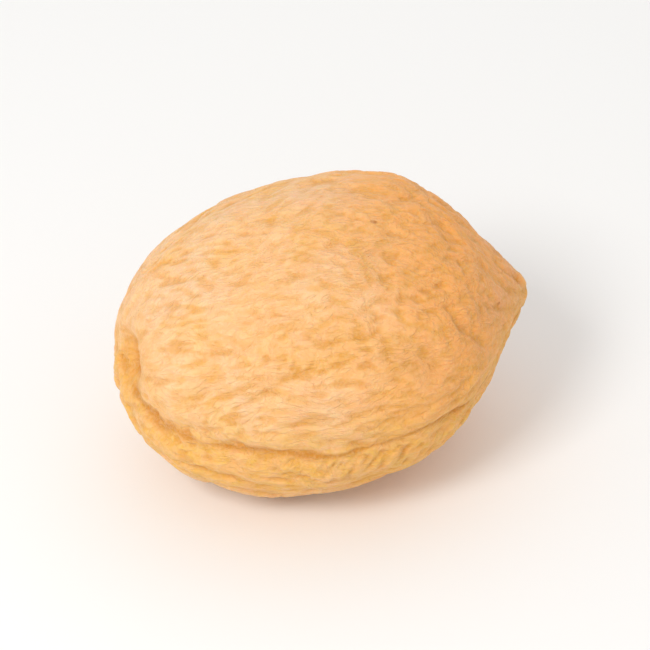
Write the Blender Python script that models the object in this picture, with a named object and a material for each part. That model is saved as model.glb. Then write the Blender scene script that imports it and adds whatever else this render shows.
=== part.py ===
"""A whole dried apricot lying on one cheek, as a single closed solid.

Metres, +Z up. +X runs from the stem end to the tip. The suture, the crease down one side, faces -Y and
a little down. The origin is on the ground, below the middle of the fruit's box.
"""

import math

import bmesh
import bpy
import numpy as np
from mathutils import Matrix, Vector, noise

NAME = "apricot"

# Driving dimensions: the fruit's box before it is rolled over and pressed flat below.
LENGTH = 0.0325  # stem end to tip
DEPTH = 0.0256  # suture to back
THICKNESS = 0.0218  # cheek to cheek
ROLL = math.radians(8)  # how far the suture points below the horizontal
PRESSED = 0.0005  # how far the resting spot is pressed in

# Lengthwise form.
TIP_TAPER = 0.42  # how much narrower than an egg the tip end is
TIP_SPAN = math.radians(45)  # how far back from the tip it narrows
POINT_RISE = 0.0003  # the blunt point at the very tip
POINT_WIDTH = math.radians(12)
STEM_HOLLOW = 0.0017  # depth of the hollow that the stem left
STEM_HOLLOW_WIDTH = math.radians(13)
STEM_HOLLOW_TILT = math.radians(10)  # how far it opens towards the suture and the upper cheek
BELLY = 0.0006  # how far the middle swells towards the suture

# Cross-section.
SQUARENESS = 2.12  # 2 is an ellipse, more is boxier
CREASE_DEPTH = 0.00040  # the suture: a crease between two rounded lips
CREASE_WIDTH = 0.00080
LIP_RISE = 0.00010
LIP_OFFSET = 0.0020
LIP_WIDTH = 0.0012
CREASE_FADE = 2.4  # the crease is whole where the girth is over 1 / 2.4 of the widest
KEEL_RISE = 0.00030  # the low keel down the back
KEEL_WIDTH = math.radians(18)

# Broad hollows (+) and swellings (-) of the shrunken flesh: along the fruit from its stem and round it
# from its suture, in degrees, then half-width in degrees and depth in metres.
HOLLOWS = (
    (24, 170, 19, 0.00080),
    (54, 138, 34, 0.00060),
    (86, 78, 30, -0.00020),
    (122, 60, 22, 0.00030),
    (122, 127, 17, -0.00030),
    (130, 182, 20, 0.00030),
    (62, 204, 22, 0.00025),
    (88, 232, 24, -0.00020),
    (48, 318, 32, -0.00095),
    (130, 320, 27, 0.00085),
)
LUMP_SPACING = 0.0058  # the small unevenness between the hollows
LUMP_HEIGHT = 0.00022
LUMP_SEED = Vector((11.3, 4.7, 8.1))

RINGS = 46
SEGMENTS = 62
CROWDING = 0.45  # crowds the segments towards the crease; 0 is even
SNAP = 0.00012  # corners this close to the ground are set on it before the cut


def bell(distance, width, power=2):
    return math.exp(-abs(distance / width) ** power)


def turn_between(a, b):
    """The smaller angle between two directions round the fruit."""
    return abs((a - b + math.pi) % (2 * math.pi) - math.pi)


def direction(along, around):
    """From the fruit's middle: along is 0 at the stem and pi at the tip, and around is 0 at the suture."""
    sideways = math.sin(along)
    return Vector((-math.cos(along), -sideways * math.cos(around), sideways * math.sin(around)))


def rounded(value):
    """Squares off a sine or cosine, which makes a circle a superellipse."""
    return math.copysign(abs(value) ** (2 / SQUARENESS), value)


def body_point(along, around):
    """The body without its crease and unevenness."""
    from_tip = math.pi - along
    from_hollow = direction(along, around).angle(direction(STEM_HOLLOW_TILT, math.pi / 4))
    girth = math.sin(along) * (1 - TIP_TAPER * bell(from_tip, TIP_SPAN, power=4))
    lengthwise = -math.cos(along) * LENGTH / 2
    lengthwise += POINT_RISE * bell(from_tip, POINT_WIDTH)
    lengthwise += STEM_HOLLOW * bell(from_hollow, STEM_HOLLOW_WIDTH)
    sideways = -girth * rounded(math.cos(around)) * DEPTH / 2 - BELLY * math.sin(along)
    upward = girth * rounded(math.sin(around)) * THICKNESS / 2
    return Vector((lengthwise, sideways, upward))


def crease_height(along, around):
    """Height of the crease, its lips and the back's keel."""
    from_crease = turn_between(around, 0) * math.sin(along) * (DEPTH + THICKNESS) / 4
    crease = -CREASE_DEPTH * bell(from_crease, CREASE_WIDTH)
    crease += LIP_RISE * bell(from_crease - LIP_OFFSET, LIP_WIDTH)
    crease *= min(1.0, CREASE_FADE * math.sin(along))
    keel = KEEL_RISE * bell(turn_between(around, math.pi), KEEL_WIDTH)
    return crease + keel * math.sin(along)


def lump_height(along, around, point):
    """Height of the broad hollows and the small lumps between them."""
    here = direction(along, around)
    height = LUMP_HEIGHT * noise.noise(point / LUMP_SPACING + LUMP_SEED) * math.sin(along)
    for hollow_along, hollow_around, half_width, depth in HOLLOWS:
        centre = direction(math.radians(hollow_along), math.radians(hollow_around))
        height -= depth * bell(here.angle(centre), math.radians(half_width))
    return height


def skin_point(along, around):
    point = body_point(along, around)
    outward = Vector((point.x / LENGTH**2, point.y / DEPTH**2, point.z / THICKNESS**2)).normalized()
    return point + outward * (crease_height(along, around) + lump_height(along, around, point))


def add_skin(mesh):
    """Rings of corners from the stem to the tip, closed by a fan at each end."""
    stem = mesh.verts.new(skin_point(0, 0))
    tip = mesh.verts.new(skin_point(math.pi, 0))
    rings = []
    for ring in range(1, RINGS):
        along = math.pi * ring / RINGS
        turns = [2 * math.pi * segment / SEGMENTS for segment in range(SEGMENTS)]
        turns = [turn - CROWDING * math.sin(turn) for turn in turns]
        rings.append([mesh.verts.new(skin_point(along, turn)) for turn in turns])
    for segment in range(SEGMENTS):
        following = (segment + 1) % SEGMENTS
        mesh.faces.new((stem, rings[0][segment], rings[0][following]))
        mesh.faces.new((tip, rings[-1][following], rings[-1][segment]))
        for near, far in zip(rings, rings[1:]):
            mesh.faces.new((near[segment], far[segment], far[following], near[following]))


def box(mesh):
    corners = np.array([vertex.co for vertex in mesh.verts])
    return corners.min(axis=0), corners.max(axis=0)


def scale_to_size(mesh):
    low, high = box(mesh)
    bmesh.ops.scale(mesh, verts=mesh.verts, vec=np.array((LENGTH, DEPTH, THICKNESS)) / (high - low))


def lay_down(mesh):
    """Rolls the fruit on to its cheek and sets it into the ground by the depth that it is pressed in."""
    bmesh.ops.rotate(mesh, verts=mesh.verts, cent=(0, 0, 0), matrix=Matrix.Rotation(ROLL, 3, "X"))
    low, high = box(mesh)
    middle = (low + high) / 2
    bmesh.ops.translate(mesh, verts=mesh.verts, vec=(-middle[0], -middle[1], -low[2] - PRESSED))


def cut_resting_spot(mesh):
    """Cuts off what is below the ground and closes the cut with one flat face."""
    for vertex in mesh.verts:
        if abs(vertex.co.z) < SNAP:
            vertex.co.z = 0
    everything = mesh.verts[:] + mesh.edges[:] + mesh.faces[:]
    cut = bmesh.ops.bisect_plane(
        mesh, geom=everything, dist=1e-6, plane_co=(0, 0, 0), plane_no=(0, 0, -1), clear_outer=True
    )
    rim = [item for item in cut["geom_cut"] if isinstance(item, bmesh.types.BMEdge)]
    for corner in {vertex for edge in rim for vertex in edge.verts}:
        corner.co.z = 0
    bmesh.ops.edgeloop_fill(mesh, edges=rim)


def skin_material():
    material = bpy.data.materials.new("dried_skin")
    material.use_nodes = True
    shader = material.node_tree.nodes["Principled BSDF"]
    shader.inputs["Base Color"].default_value = (0.86, 0.50, 0.19, 1)
    shader.inputs["Roughness"].default_value = 0.62
    shader.inputs["Metallic"].default_value = 0.0
    return material


def build():
    for old in list(bpy.data.objects):
        bpy.data.objects.remove(old)
    mesh = bmesh.new()
    add_skin(mesh)
    scale_to_size(mesh)
    lay_down(mesh)
    cut_resting_spot(mesh)
    bmesh.ops.recalc_face_normals(mesh, faces=mesh.faces)
    data = bpy.data.meshes.new(NAME)
    mesh.to_mesh(data)
    mesh.free()
    data.set_sharp_from_angle(angle=math.radians(40))
    data.materials.append(skin_material())
    bpy.context.scene.collection.objects.link(bpy.data.objects.new(NAME, data))


build()
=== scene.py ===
"""The looks of the dried apricot: its wrinkled skin as a fine mesh, its material, and a plain studio.

The skin starts from the CAD solid of the frame. Random unevenness on it is then grown into wrinkles that
run from the stem to the tip, much as a skin buckles when the flesh below it shrinks. Lengths are in metres.
"""

import math

import bpy
import numpy as np
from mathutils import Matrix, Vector, bvhtree, noise


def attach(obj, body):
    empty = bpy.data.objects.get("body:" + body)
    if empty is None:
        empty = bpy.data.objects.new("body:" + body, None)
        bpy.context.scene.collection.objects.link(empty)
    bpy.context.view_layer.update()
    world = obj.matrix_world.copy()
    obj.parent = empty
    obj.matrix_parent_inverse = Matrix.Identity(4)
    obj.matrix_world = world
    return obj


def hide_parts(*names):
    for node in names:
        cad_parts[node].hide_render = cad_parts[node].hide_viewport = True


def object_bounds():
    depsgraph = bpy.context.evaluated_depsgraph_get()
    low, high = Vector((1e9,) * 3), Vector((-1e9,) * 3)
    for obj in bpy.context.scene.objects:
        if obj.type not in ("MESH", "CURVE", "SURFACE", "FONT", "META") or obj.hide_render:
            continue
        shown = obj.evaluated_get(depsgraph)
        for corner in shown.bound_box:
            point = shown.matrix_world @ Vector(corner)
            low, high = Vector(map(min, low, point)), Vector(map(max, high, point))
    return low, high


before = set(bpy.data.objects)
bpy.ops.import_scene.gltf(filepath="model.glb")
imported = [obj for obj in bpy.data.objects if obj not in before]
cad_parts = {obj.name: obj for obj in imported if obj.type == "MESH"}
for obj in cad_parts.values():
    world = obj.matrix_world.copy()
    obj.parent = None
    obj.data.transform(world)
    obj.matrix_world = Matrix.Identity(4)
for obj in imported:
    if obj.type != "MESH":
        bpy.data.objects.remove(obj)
cad_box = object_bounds()

MM = 0.001
NODE = "apricot"

# The fruit's own directions: its axis runs along +X, and its suture faces -Y and this far down.
SUTURE_DROP = math.radians(8)
SUTURE_WAY = np.array((0, -math.cos(SUTURE_DROP), -math.sin(SUTURE_DROP)))
CHEEK_WAY = np.array((0, -math.sin(SUTURE_DROP), math.cos(SUTURE_DROP)))

CELLS = 99  # each edge of the geodesic ball is split into this many
FACET_BLUR = 0.55 * MM  # smooths the CAD solid's facets off
CREASE_BLUR = 1.3 * MM  # smooths its crease off too, where this script makes a finer one
GRAIN_STRETCH = 12  # how much stronger the smoothing is along the wrinkles than across them
PRESSED = 0.10 * MM  # how far the lowest wrinkles are pressed flat

# Heights of the skin's relief, from the broadest to the finest.
DENT_HEIGHT = 0.17 * MM
DIMPLE_HEIGHT = 0.10 * MM
FOLD_HEIGHT = 0.080 * MM
WRINKLE_HEIGHT = 0.036 * MM
LINE_HEIGHT = 0.011 * MM

# The suture's crease.
CREASE_WANDER = 0.40 * MM
TROUGH_DEPTH = 0.20 * MM
SCORE_DEPTH = 0.12 * MM
SECOND_DEPTH = 0.12 * MM
SECOND_RISE = 1.5 * MM

# The stem's scar: how far off the axis it is, and its pit, the button in it and the rim round it.
SCAR_TO_SUTURE = 2.1 * MM
SCAR_TO_CHEEK = 1.6 * MM
PIT_DEPTH = 0.75 * MM
BUTTON_HEIGHT = 0.30 * MM
RIM_HEIGHT = 0.14 * MM

# Small brown specks: degrees along from the stem and round from the suture, and size in degrees.
SPECKS = ((102, 87, 1.3), (62, 152, 1.0), (118, 214, 1.4), (84, 262, 1.1), (140, 40, 0.9))

random = np.random.default_rng(20)


# ---------------------------------------------------------------- the mesh


def geodesic_ball(cells):
    """Directions and triangles of an icosahedron whose faces are each split into cells**2 triangles."""
    golden = (1 + math.sqrt(5)) / 2
    corners = [
        np.roll((0, a, b * golden), turn) for turn in range(3) for a in (-1, 1) for b in (-1, 1)
    ]
    points, triangles = [], []
    for i in range(12):
        for j in range(i + 1, 12):
            for k in range(j + 1, 12):
                a, b, c = corners[i], corners[j], corners[k]
                if max(np.linalg.norm(a - b), np.linalg.norm(b - c), np.linalg.norm(c - a)) > 2.01:
                    continue
                if np.dot(np.cross(b - a, c - a), a) < 0:
                    b, c = c, b
                start = len(points)
                for row in range(cells + 1):
                    width = cells + 1 - row
                    for step in range(width):
                        points.append(((width - 1 - step) * a + step * b + row * c) / cells)
                        here, above = start + step, start + width + step
                        if step < width - 1:
                            triangles.append((here, here + 1, above))
                        if step < width - 2:
                            triangles.append((here + 1, above + 1, above))
                    start += width
    points, shared = np.unique(np.round(points, 6) + 0.0, axis=0, return_inverse=True)
    points /= np.linalg.norm(points, axis=1, keepdims=True)
    return points, shared.reshape(-1)[np.array(triangles)]


def neighbours_of(triangles, count):
    """The six corners next to each corner; at the twelve with five, the corner itself fills the gap."""
    starts = triangles.T.reshape(-1)
    ends = np.roll(triangles, -1, axis=1).T.reshape(-1)
    order = np.argsort(starts, kind="stable")
    starts, ends = starts[order], ends[order]
    first = np.searchsorted(starts, np.arange(count))
    table = np.repeat(np.arange(count)[:, None], 6, axis=1)
    table[starts, np.arange(len(starts)) - first[starts]] = ends
    return table


def normals_of(points, triangles):
    a, b, c = (points[triangles[:, corner]] for corner in range(3))
    across = np.cross(b - a, c - a)
    normals = np.zeros_like(points)
    for corner in range(3):
        for axis in range(3):
            normals[:, axis] += np.bincount(triangles[:, corner], across[:, axis], len(points))
    return normals / np.linalg.norm(normals, axis=1, keepdims=True)


def smoothing_weights(points, table, grain=None, stretch=0.0):
    """What each corner takes from its neighbours in one pass, and how much variance a pass adds.

    Along the grain the smoothing is stronger, by stretch, so what it leaves is drawn out that way.
    """
    edges = points[table] - points[:, None]
    lengths = np.linalg.norm(edges, axis=2)
    real = lengths > 0
    lengths[~real] = 1
    weights = real / lengths**2
    if grain is not None:
        across = 1 - (np.einsum("ijk,ik->ij", edges, grain) / lengths) ** 2
        weights = weights / (1 + np.reshape(stretch, (-1, 1)) * across)
    share = 1 / (1.02 * weights.sum(axis=1).max())
    return (weights * share).astype(np.float32), 3 * share


def smoothed(field, weighting, table, spread):
    """The field, blurred over a distance of about spread."""
    weights, variance = weighting
    field = field.astype(np.float32)
    kept = 1 - weights.sum(axis=1)
    for _ in range(max(1, round(spread**2 / variance))):
        field = field * kept + np.einsum("ij,ij->i", weights, field[table])
    return field


def smoothed_points(points, weighting, table, spread):
    axes = [smoothed(points[:, axis], weighting, table, spread) for axis in range(3)]
    return np.stack(axes, axis=1).astype(float)


def cad_surface(directions, table):
    """The CAD solid's surface in those directions from its middle, with its facets and crease smoothed
    off, and the place of its tip."""
    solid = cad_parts[NODE].data
    corners = [vertex.co for vertex in solid.vertices]
    tree = bvhtree.BVHTree.FromPolygons(corners, [face.vertices for face in solid.polygons])
    tip = max(corners, key=lambda corner: corner.x)
    middle = Vector((0, tip.y, tip.z))
    points = np.array([tree.ray_cast(middle, Vector(way))[0] for way in directions])
    weighting = smoothing_weights(points, table)
    soft = smoothed_points(points, weighting, table, FACET_BLUR)
    softer = smoothed_points(soft, weighting, table, CREASE_BLUR)
    level = soft - np.array(tip)
    near_crease = bell(level @ CHEEK_WAY, 1.8 * MM) * step(level @ SUTURE_WAY, 0, 5 * MM)
    share = 0.9 * near_crease[:, None]
    return soft * (1 - share) + softer * share, np.array(tip)


class Fruit:
    """Where each corner of the skin is on the fruit, and which way the wrinkles run there."""

    def __init__(self, points, tip, normals):
        reach = (points[:, 0] - points[:, 0].min()) / np.ptp(points[:, 0])
        self.along = np.arccos(np.clip(1 - 2 * reach, -1, 1))  # 0 at the stem, pi at the tip
        level = points - tip
        self.towards_suture = level @ SUTURE_WAY
        self.towards_cheek = level @ CHEEK_WAY
        # 0 at the suture, positive above it.
        self.around = np.arctan2(self.towards_cheek, self.towards_suture)
        self.girth = np.hypot(self.towards_cheek, self.towards_suture)
        self.reach = reach
        self.normals = normals
        self.from_suture = self.around * self.girth
        self.sideways = np.sin(self.along)

    def direction(self, along, around):
        return np.array((-np.cos(along), np.sin(along) * np.cos(around), np.sin(along) * np.sin(around)))

    def turn_from(self, along, around):
        """The angle, seen from the fruit's middle, to a place given in degrees."""
        here = self.direction(self.along, self.around)
        there = self.direction(math.radians(along), math.radians(around))
        return np.arccos(np.clip(there @ here, -1, 1))

    def from_axis(self, to_suture, to_cheek):
        """The distance from a line along the stem half of the fruit, far off in the tip half."""
        aside = np.hypot(self.towards_suture - to_suture, self.towards_cheek - to_cheek)
        return aside + self.girth.max() * step(self.reach, 0.2, 0.5)

    def grain(self, swerve):
        """Unit directions along the skin from stem to tip, swerved by an angle about the normal."""
        axis = np.array((1.0, 0, 0)) - self.normals[:, :1] * self.normals
        axis /= np.maximum(np.linalg.norm(axis, axis=1, keepdims=True), 1e-6)
        side = np.cross(self.normals, axis)
        return axis * np.cos(swerve)[:, None] + side * np.sin(swerve)[:, None]


def bell(distance, width):
    return np.exp(-((distance / width) ** 2))


def step(value, low, high):
    """0 below low, 1 above high, and smooth between them."""
    share = np.clip((value - low) / (high - low), 0, 1)
    return share * share * (3 - 2 * share)


def cloud(points, size, seed):
    """Smooth random values from about -1 to 1, with lumps of about the given size."""
    shift = Vector((seed * 7.31, seed * 3.17, seed * 5.93))
    return np.array([1.6 * noise.noise(Vector(point) / size + shift) for point in points])


def grown_wrinkles(count, table, fine, coarse, widths, rounds):
    """Ridges above 0 and valleys below, with a spread of 1, grown from random unevenness.

    Each round keeps what stands out from its surroundings and levels off the rest, so more rounds
    make longer and more even wrinkles.
    """
    height = random.standard_normal(count)
    for _ in range(rounds):
        near = smoothed(np.tanh(height), fine, table, widths[0])
        rise = near - smoothed(near, coarse, table, widths[1])
        height = rise / rise.std()
    return height


def creased(height):
    """Broad even ridges with narrow valleys between them, 0 on the ridges and about -4 at the deepest."""
    return -np.log1p(np.exp(-2 * height))


def grain_round_dents(fruit, base, table, dents, order, strip):
    """The wrinkles' direction: from stem to tip where order is 1, round the broad dents where it is 0,
    and across the narrow strip below the suture."""
    edges = base[table] - base[:, None]
    slope = np.einsum("ij,ijk->ik", dents[table] - dents[:, None], edges)
    contour = np.cross(fruit.normals, slope)
    axis = fruit.grain(np.zeros(len(base)))
    side = np.cross(fruit.normals, axis)
    turn = 2 * np.arctan2(np.einsum("ij,ij->i", contour, side), np.einsum("ij,ij->i", contour, axis))
    swerve = 0.5 * np.arctan2((1 - order) * np.sin(turn), order + (1 - order) * np.cos(turn))
    swerve += 0.5 * cloud(base, 7 * MM, 9) * fruit.sideways * (1 - 0.7 * bell(fruit.from_suture, 4 * MM))
    return fruit.grain(swerve + math.radians(65) * strip)


def crease_parts(fruit, base):
    """How strongly the parts of the suture's crease show: a broad trough broken into dents, mostly in the
    stem half, a thin line in it, mostly in the tip half, and a fainter second line above that there."""
    line = np.stack([base[:, 0] - base[:, 0].min(), 0 * fruit.reach, 0 * fruit.reach], axis=1)
    line *= (cad_box[1][0] - cad_box[0][0]) / np.ptp(base[:, 0])
    off = fruit.from_suture - CREASE_WANDER * cloud(line, 5 * MM, 5)
    present = step(fruit.along, 0.12, 0.35) * (1 - step(fruit.along, 2.75, 3.05))
    tip_half = step(fruit.reach, 0.30, 0.50)
    beads = np.clip(0.8 + 0.9 * cloud(base, 1.7 * MM, 6), 0.1, 2)
    trough = present * (1 - 0.5 * tip_half) * bell(off, (0.95 - 0.45 * tip_half) * MM) * beads
    score = present * (0.65 + 0.35 * tip_half) * np.exp(-np.abs(off) / (0.24 * MM))
    second_off = off - SECOND_RISE - 0.4 * MM * cloud(base, 6 * MM, 7)
    second = step(fruit.reach, 0.45, 0.58) * (1 - step(fruit.reach, 0.84, 0.94))
    second = second * np.exp(-np.abs(second_off) / (0.25 * MM))
    return trough, score, second


def fitted(points):
    """The points, scaled to fill the CAD solid's box once their lowest wrinkles are pressed flat."""
    low, high = (np.array(corner) for corner in cad_box)
    low[2] -= PRESSED
    points = low + (points - points.min(axis=0)) * (high - low) / np.ptp(points, axis=0)
    points[:, 2] = np.maximum(points[:, 2], low[2] + PRESSED)
    return points


def wrinkled_skin():
    """The skin's points and triangles, and the values at its points that the material reads."""
    directions, triangles = geodesic_ball(CELLS)
    table = neighbours_of(triangles, len(directions))
    base, tip = cad_surface(directions, table)
    normals = normals_of(base, triangles)
    fruit = Fruit(base, tip, normals)
    plain = smoothing_weights(base, table)
    count = len(base)

    # How strongly the wrinkles keep to the grain: fully at the ends and the suture, less on the cheeks.
    ends = 1 - step(fruit.sideways, 0.35, 0.85)
    near_suture = bell(fruit.from_suture, 4.5 * MM)
    order = np.clip(0.6 + 0.4 * np.maximum(ends, near_suture), 0, 1)
    dents = cloud(base, 8.5 * MM, 3)
    strip = bell(fruit.from_suture + 2.0 * MM, 1.3 * MM) * step(fruit.reach, 0.2, 0.45)
    grain = grain_round_dents(fruit, base, table, dents, order, strip)

    along_grain = smoothing_weights(base, table, grain, GRAIN_STRETCH)
    folds = grown_wrinkles(count, table, along_grain, plain, (0.85 * MM, 1.6 * MM), 3)
    wrinkles = grown_wrinkles(count, table, along_grain, plain, (0.40 * MM, 0.70 * MM), 2)
    lines = grown_wrinkles(count, table, along_grain, plain, (0.20 * MM, 0.30 * MM), 2)

    smooth_cheek = bell(fruit.turn_from(70, 82), math.radians(50))
    low_band = bell(fruit.from_suture + 2.2 * MM, 2.0 * MM)
    patchy = 1 + 0.5 * cloud(base, 4 * MM, 2) + 0.6 * low_band - 0.6 * smooth_cheek
    patchy = np.clip(patchy, 0.25, 2.2)
    height = DENT_HEIGHT * dents + DIMPLE_HEIGHT * cloud(base, 3.4 * MM, 8)
    height += FOLD_HEIGHT * (1 - 0.5 * smooth_cheek) * creased(folds)
    height += WRINKLE_HEIGHT * patchy * creased(wrinkles)
    height += LINE_HEIGHT * patchy * creased(lines)

    trough, score, second = crease_parts(fruit, base)
    height -= TROUGH_DEPTH * trough + SCORE_DEPTH * score + SECOND_DEPTH * second

    ragged = cloud(base, 1.5 * MM, 4)
    from_scar = fruit.from_axis(SCAR_TO_SUTURE, SCAR_TO_CHEEK) + 0.45 * MM * ragged
    height -= PIT_DEPTH * bell(from_scar, 1.3 * MM)
    height += BUTTON_HEIGHT * bell(from_scar, 0.45 * MM)
    height += RIM_HEIGHT * bell(from_scar - 2.7 * MM, 0.9 * MM)

    # Painted shade: how far each corner lies below its surroundings. The material paints these recesses ochre
    # as their shade.
    painted_cavity_shade = height - smoothed(height, plain, table, 0.8 * MM)
    specks = np.zeros(count)
    for along, around, size in SPECKS:
        specks = np.maximum(specks, bell(fruit.turn_from(along, around), math.radians(size)))
    under = -fruit.from_suture
    looks = {
        # the wrinkles' height, which the material uses to paint shade into their valleys
        "relief": np.clip(0.5 + 0.25 * wrinkles + 0.08 * lines, 0, 1),
        # painted shade in the recesses
        "painted_cavity_shade": np.clip(-painted_cavity_shade / (0.12 * MM), 0, 1),
        # painted shade along the suture's crease
        "crease": np.clip(0.6 * trough + score + 0.5 * second, 0, 1),
        "scar": bell(from_scar - 0.6 * MM, 0.8 * MM) * np.clip(0.75 + 0.5 * ragged, 0.3, 1),
        # painted shadow in the stem's hollow
        "painted_hollow_shade": bell(from_scar, 2.6 * MM),
        "speck": specks,
        "reach": fruit.reach,
        # painted warm shade on the underside strip below the suture
        "below": step(under, -5 * MM, 1.5 * MM) * (1 - step(under, 4 * MM, 10 * MM)),
    }
    return fitted(base + normals * height[:, None]), triangles, looks


def skin_object():
    points, triangles, looks = wrinkled_skin()
    mesh = bpy.data.meshes.new("apricot_skin")
    mesh.from_pydata(points.tolist(), [], triangles.tolist())
    mesh.shade_smooth()
    for name, values in looks.items():
        layer = mesh.attributes.new(name, "FLOAT", "POINT")
        layer.data.foreach_set("value", np.asarray(values, dtype=np.float32))
    skin = bpy.data.objects.new("apricot_skin", mesh)
    bpy.context.scene.collection.objects.link(skin)
    skin.data.materials.append(skin_material())
    return skin


# ---------------------------------------------------------------- materials


def linear(red, green, blue):
    """A colour given as screen values from 0 to 255, as the shader's linear values."""
    shares = [value / 255 for value in (red, green, blue)]
    return [s / 12.92 if s <= 0.04045 else ((s + 0.055) / 1.055) ** 2.4 for s in shares] + [1]


CREAM = linear(244, 203, 158)
PEACH = linear(247, 194, 134)
ORANGE = linear(248, 164, 70)
# Yellow both as the skin's own tone in random patches and as painted warm shade on the strip below the
# suture.
YELLOW_TONE_AND_WARM_SHADE = linear(236, 180, 86)
# Painted shade: the warm gold of the shade in the wrinkles' valleys and in the stem's hollow.
PAINTED_SHADE_GOLD = linear(227, 160, 64)
# Painted shade: the ochre of the shade in recesses, in the suture's crease and in the fine creases.
PAINTED_SHADE_OCHRE = linear(206, 134, 34)
AMBER = linear(176, 96, 26)
BLUSH = linear(243, 172, 118)


class Nodes:
    """Short ways to add and join a material's nodes."""

    def __init__(self, name):
        self.material = bpy.data.materials.new(name)
        self.material.use_nodes = True
        self.tree = self.material.node_tree
        self.shader = self.tree.nodes["Principled BSDF"]

    def add(self, kind, inputs=(), **settings):
        node = self.tree.nodes.new(kind)
        for name, value in settings.items():
            setattr(node, name, value)
        for key, value in dict(inputs).items():
            self.put(node.inputs[key], value)
        return node

    def put(self, socket, value):
        if isinstance(value, bpy.types.NodeSocket):
            self.tree.links.new(value, socket)
        else:
            socket.default_value = value

    def attribute(self, name):
        return self.add("ShaderNodeAttribute", attribute_name=name).outputs["Fac"]

    def noise(self, place, size, detail=2.0, **settings):
        inputs = {"Vector": place, "Scale": 1 / size, "Detail": detail}
        return self.add("ShaderNodeTexNoise", inputs, **settings).outputs["Fac"]

    def between(self, value, low, high, to_low=0.0, to_high=1.0):
        inputs = {"Value": value, "From Min": low, "From Max": high, "To Min": to_low, "To Max": to_high}
        return self.add("ShaderNodeMapRange", inputs, interpolation_type="SMOOTHSTEP").outputs["Result"]

    def math(self, operation, a, b=0.0):
        return self.add("ShaderNodeMath", {0: a, 1: b}, operation=operation).outputs["Value"]

    def vector(self, operation, a, b):
        return self.add("ShaderNodeVectorMath", {0: a, 1: b}, operation=operation).outputs["Vector"]

    def mixed(self, share, a, b):
        node = self.add("ShaderNodeMix", data_type="RGBA")
        for key, value in ((0, share), (6, a), (7, b)):
            self.put(node.inputs[key], value)
        return node.outputs[2]


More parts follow.
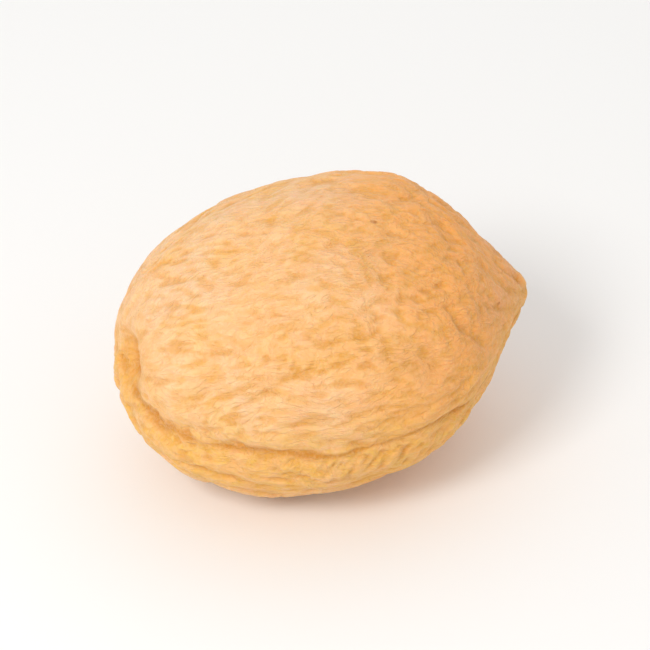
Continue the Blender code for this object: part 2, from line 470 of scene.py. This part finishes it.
def skin_material():
    nodes = Nodes("dried_skin")
    place = nodes.add("ShaderNodeTexCoord").outputs["Object"]
    relief = nodes.attribute("relief")
    reach = nodes.attribute("reach")

    drift = nodes.noise(place, 9 * MM, 1)
    patches = nodes.noise(place, 4 * MM, 3)
    mottle = nodes.noise(place, 1.1 * MM, 3)
    down = nodes.noise(place, 0.26 * MM, 3)

    # Fine creases drawn out from the stem towards the tip.
    swerve = nodes.add("ShaderNodeTexNoise", {"Vector": place, "Scale": 1 / (6 * MM)}).outputs["Color"]
    swerve = nodes.vector("MULTIPLY", swerve, (4 * MM, 4 * MM, 4 * MM))
    drawn = nodes.vector("MULTIPLY", nodes.vector("ADD", place, swerve), (0.3, 1, 1))
    streaks = nodes.noise(drawn, 0.5 * MM, 3)
    streaks = nodes.math("ABSOLUTE", nodes.math("SUBTRACT", streaks, 0.5))
    streaks = nodes.between(streaks, 0, 0.12)

    colour = nodes.mixed(nodes.between(drift, 0.35, 0.65), CREAM, PEACH)
    colour = nodes.mixed(nodes.between(patches, 0.42, 0.68, 0, 0.40), colour, YELLOW_TONE_AND_WARM_SHADE)
    colour = nodes.mixed(nodes.between(mottle, 0.62, 0.38, 0, 0.30), colour, BLUSH)
    colour = nodes.mixed(nodes.between(reach, 0.35, 0.85, 0, 0.90), colour, ORANGE)
    tip = nodes.math("MULTIPLY", nodes.between(reach, 0.7, 0.97), nodes.between(patches, 0.4, 0.65))
    colour = nodes.mixed(nodes.math("MULTIPLY", tip, 0.7), colour, BLUSH)
    # Painted warm shade: the underside strip below the suture is made yellower, as warm bounce light in its
    # shade.
    painted_warm_shade_below = nodes.math("MULTIPLY", nodes.attribute("below"), nodes.between(mottle, 0.35, 0.65, 0.40, 1.0))
    colour = nodes.mixed(painted_warm_shade_below, colour, YELLOW_TONE_AND_WARM_SHADE)
    # Painted shade: the wrinkles' valleys are turned a darker, warmer gold, as the warm shade in them would
    # look.
    valleys = nodes.between(patches, 0.3, 0.7, 0.25, 0.7)
    valleys = nodes.math("MULTIPLY", nodes.between(relief, 0.75, 0.1), valleys)
    colour = nodes.mixed(valleys, colour, PAINTED_SHADE_GOLD)
    # Painted shade: the recesses are darkened towards ochre.
    colour = nodes.mixed(nodes.between(nodes.attribute("painted_cavity_shade"), 0.25, 1.0, 0, 0.25), colour, PAINTED_SHADE_OCHRE)
    # Painted shade: the suture's crease is darkened to ochre in place of its shadow.
    colour = nodes.mixed(nodes.between(nodes.attribute("crease"), 0.25, 1.0, 0, 0.85), colour, PAINTED_SHADE_OCHRE)
    # Painted shadow: the stem's hollow is darkened to gold.
    colour = nodes.mixed(nodes.between(nodes.attribute("painted_hollow_shade"), 0.1, 1.0, 0, 0.75), colour, PAINTED_SHADE_GOLD)
    colour = nodes.mixed(nodes.between(nodes.attribute("speck"), 0.3, 0.8, 0, 0.7), colour, AMBER)
    colour = nodes.mixed(nodes.between(nodes.attribute("scar"), 0.1, 1.0, 0, 0.8), colour, AMBER)
    # Painted shade: the fine creases are darkened towards ochre.
    colour = nodes.mixed(nodes.between(streaks, 0.5, 0.0, 0.0, 0.16), colour, PAINTED_SHADE_OCHRE)
    colour = nodes.mixed(nodes.between(down, 0.35, 0.7, 0.0, 0.20), colour, CREAM)

    bumps = nodes.add("ShaderNodeBump", {"Height": streaks, "Distance": 0.06 * MM, "Strength": 0.8})
    grainy = nodes.add(
        "ShaderNodeBump", {"Height": down, "Distance": 0.07 * MM, "Strength": 0.8, "Normal": bumps.outputs[0]}
    )
    shader = nodes.shader.inputs
    nodes.put(shader["Base Color"], colour)
    nodes.put(shader["Normal"], grainy.outputs[0])
    nodes.put(shader["Roughness"], nodes.between(mottle, 0.3, 0.7, 0.55, 0.72))
    shader["IOR"].default_value = 1.42
    shader["Specular IOR Level"].default_value = 0.35
    shader["Subsurface Weight"].default_value = 0.22
    shader["Subsurface Radius"].default_value = (1.0, 0.45, 0.18)
    shader["Subsurface Scale"].default_value = 0.6 * MM
    shader["Sheen Weight"].default_value = 0.2
    shader["Sheen Roughness"].default_value = 0.45
    shader["Sheen Tint"].default_value = (1.0, 0.92, 0.8, 1)
    return nodes.material


def floor_material():
    nodes = Nodes("studio_floor")
    nodes.shader.inputs["Base Color"].default_value = linear(246, 245, 243)
    nodes.shader.inputs["Roughness"].default_value = 0.8
    return nodes.material


# ---------------------------------------------------------------- the studio

VIEW_AZIMUTH = math.radians(-15)
VIEW_ELEVATION = math.radians(38)
LENS = 200  # mm: the fruit was seen from far off, so it shows little perspective
FILL = 0.66  # share of the picture's width that the fruit takes


def add_floor():
    mesh = bpy.data.meshes.new("studio_floor")
    half = 3.0  # metres, so its edge is nearly at the horizon
    corners = [(-half, -half, 0), (half, -half, 0), (half, half, 0), (-half, half, 0)]
    mesh.from_pydata(corners, [], [(0, 1, 2, 3)])
    mesh.materials.append(floor_material())
    floor = bpy.data.objects.new("studio_floor", mesh)
    bpy.context.scene.collection.objects.link(floor)


def aim(thing, place, target):
    thing.location = place
    thing.rotation_euler = (Vector(target) - Vector(place)).to_track_quat("-Z", "Y").to_euler()


def add_light(name, azimuth, elevation, distance, size, watts, target):
    light = bpy.data.lights.new(name, "AREA")
    light.size = size
    light.energy = watts
    thing = bpy.data.objects.new(name, light)
    bpy.context.scene.collection.objects.link(thing)
    aim(thing, Vector(target) + distance * way_from(math.radians(azimuth), math.radians(elevation)), target)


def way_from(azimuth, elevation):
    return Vector(
        (
            math.sin(azimuth) * math.cos(elevation),
            -math.cos(azimuth) * math.cos(elevation),
            math.sin(elevation),
        )
    )


def add_camera(low, high):
    camera = bpy.data.cameras.new("camera")
    camera.lens = LENS
    camera.clip_start = 0.01
    width = (high.x - low.x) / FILL
    distance = width * LENS / camera.sensor_width
    thing = bpy.data.objects.new("camera", camera)
    bpy.context.scene.collection.objects.link(thing)
    middle = (low + high) / 2
    aim(thing, middle + distance * way_from(VIEW_AZIMUTH, VIEW_ELEVATION), middle)
    bpy.context.scene.camera = thing


def add_studio(low, high):
    middle = (low + high) / 2
    add_floor()
    add_light("key", -52, 45, 0.30, 0.10, 0.41, middle)
    add_light("back", 150, 50, 0.35, 0.30, 0.10, middle)
    scene = bpy.context.scene
    scene.world = studio_world()
    scene.view_settings.view_transform = "Standard"
    add_camera(low, high)


def studio_world():
    """White light from all round: brightest a little above the horizon, which matches the far floor."""
    world = bpy.data.worlds.new("studio")
    world.use_nodes = True
    tree = world.node_tree
    way = tree.nodes.new("ShaderNodeTexCoord")
    split = tree.nodes.new("ShaderNodeSeparateXYZ")
    ramp = tree.nodes.new("ShaderNodeValToRGB")
    stops = ramp.color_ramp.elements
    stops[0].position, stops[1].position = 0.03, 0.2
    stops.new(0.8)
    for stop, brightness in zip(stops, (0.63, 0.90, 0.68)):
        stop.color = (brightness, brightness, brightness, 1)
    tree.links.new(way.outputs["Generated"], split.inputs[0])
    tree.links.new(split.outputs["Z"], ramp.inputs[0])
    tree.links.new(ramp.outputs["Color"], tree.nodes["Background"].inputs["Color"])
    return world


skin = skin_object()
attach(skin, "root")
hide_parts(NODE)
add_studio(Vector(cad_box[0]), Vector(cad_box[1]))
